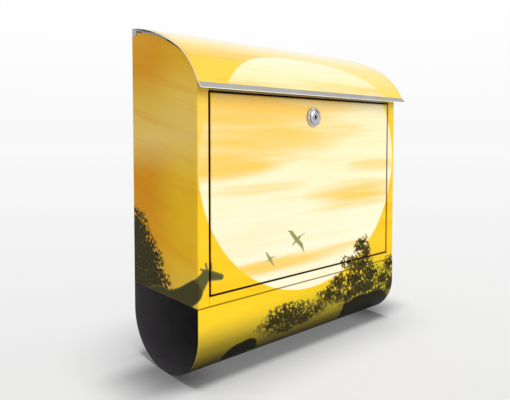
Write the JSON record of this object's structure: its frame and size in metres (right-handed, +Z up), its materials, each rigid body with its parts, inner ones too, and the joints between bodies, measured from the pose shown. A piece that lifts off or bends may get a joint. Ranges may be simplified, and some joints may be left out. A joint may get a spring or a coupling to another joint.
{
  "type": "wall mailbox",
  "caption": "Wall mailbox of folded sheet steel: lift-up arched hood over a mail slot, drop-down door with a cam lock, and an open-ended newspaper roll below.",
  "frame": {"origin": "centre of the four wall holes, on the wall plane", "axes": "+Z up, +Y into the wall, +X to the right of someone facing the box"},
  "size_m": [0.391, 0.1675, 0.4368],
  "materials": {
    "printed_steel": "powder coated sheet steel with a printed satin outside",
    "dark_coat": "charcoal powder coat, fine orange peel",
    "hinge_polymer": "moulded light grey plastic",
    "nickel": "satin nickel plate",
    "zinc": "bright zinc plate",
    "brass": "plain stamped brass",
    "buffer_rubber": "moulded black rubber"
  },
  "bodies": {
    "cabinet": {"left_side_panel": "printed_steel", "right_side_panel": "printed_steel", "back_panel": "dark_coat", "floor_panel": "printed_steel", "header_rail": "printed_steel", "inlet_plate": "dark_coat", "hinge_bracket": "hinge_polymer", "hinge_block_left": "hinge_polymer", "hinge_block_right": "hinge_polymer", "hinge_rivets": "zinc", "hood_hinge_rod": "zinc", "hood_bumpers": "buffer_rubber", "door_bumpers": "buffer_rubber", "door_hinge_pins": "zinc", "door_hinge_washers": "hinge_polymer", "door_pin_clips": "zinc", "newspaper_roll": "printed_steel", "roll_rivets": "zinc"},
    "hood": {"hood": "printed_steel"},
    "door": {"front_door": "printed_steel", "lock_gasket": "buffer_rubber", "lock_housing": "nickel", "lock_nut": "nickel"},
    "lock": {"lock_core": "nickel", "lock_wafers": "brass", "lock_cam": "zinc", "lock_cam_washer": "zinc", "lock_cam_screw": "zinc"}
  },
  "joints": [
    {"name": "hood_hinge", "type": "hinge", "parent": "cabinet", "child": "hood", "pos_m": [0, -0.006, 0.16465], "axis": [-1, 0, 0], "range_deg": [0, 80]},
    {"name": "door_hinge", "type": "hinge", "parent": "cabinet", "child": "door", "pos_m": [0, -0.145, -0.151], "axis": [1, 0, 0], "range_deg": [0, 100]},
    {"name": "lock_turn", "type": "hinge", "parent": "door", "child": "lock", "pos_m": [0, -0.145, 0.0527], "axis": [0, -1, 0], "range_deg": [0, 90]}
  ]
}
